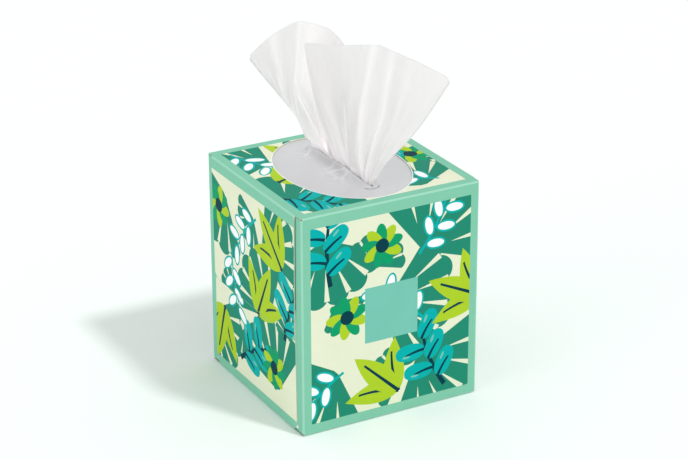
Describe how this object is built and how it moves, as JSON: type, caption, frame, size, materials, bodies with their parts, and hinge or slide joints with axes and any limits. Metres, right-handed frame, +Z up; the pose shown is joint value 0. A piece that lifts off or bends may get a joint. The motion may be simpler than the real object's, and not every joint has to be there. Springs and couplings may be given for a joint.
{
  "type": "tissue box",
  "caption": "Upright folded paperboard tissue box with an oval opening in the top, a slit film under it and a gathered tissue standing in the slit.",
  "frame": {"origin": "middle of the carton's underside", "axes": "+Z up, -Y towards the front panel, X across the two end faces"},
  "size_m": [0.11, 0.109, 0.1992],
  "materials": {
    "board": "printed and varnished outside, bare grey-brown inside",
    "film": "hazy film",
    "stack": "soft crepe paper",
    "tissue": "soft crepe paper"
  },
  "bodies": {
    "root": {"carton": "board", "window_film": "film", "tissue_stack": "stack", "top_tissue": "tissue"}
  },
  "joints": []
}
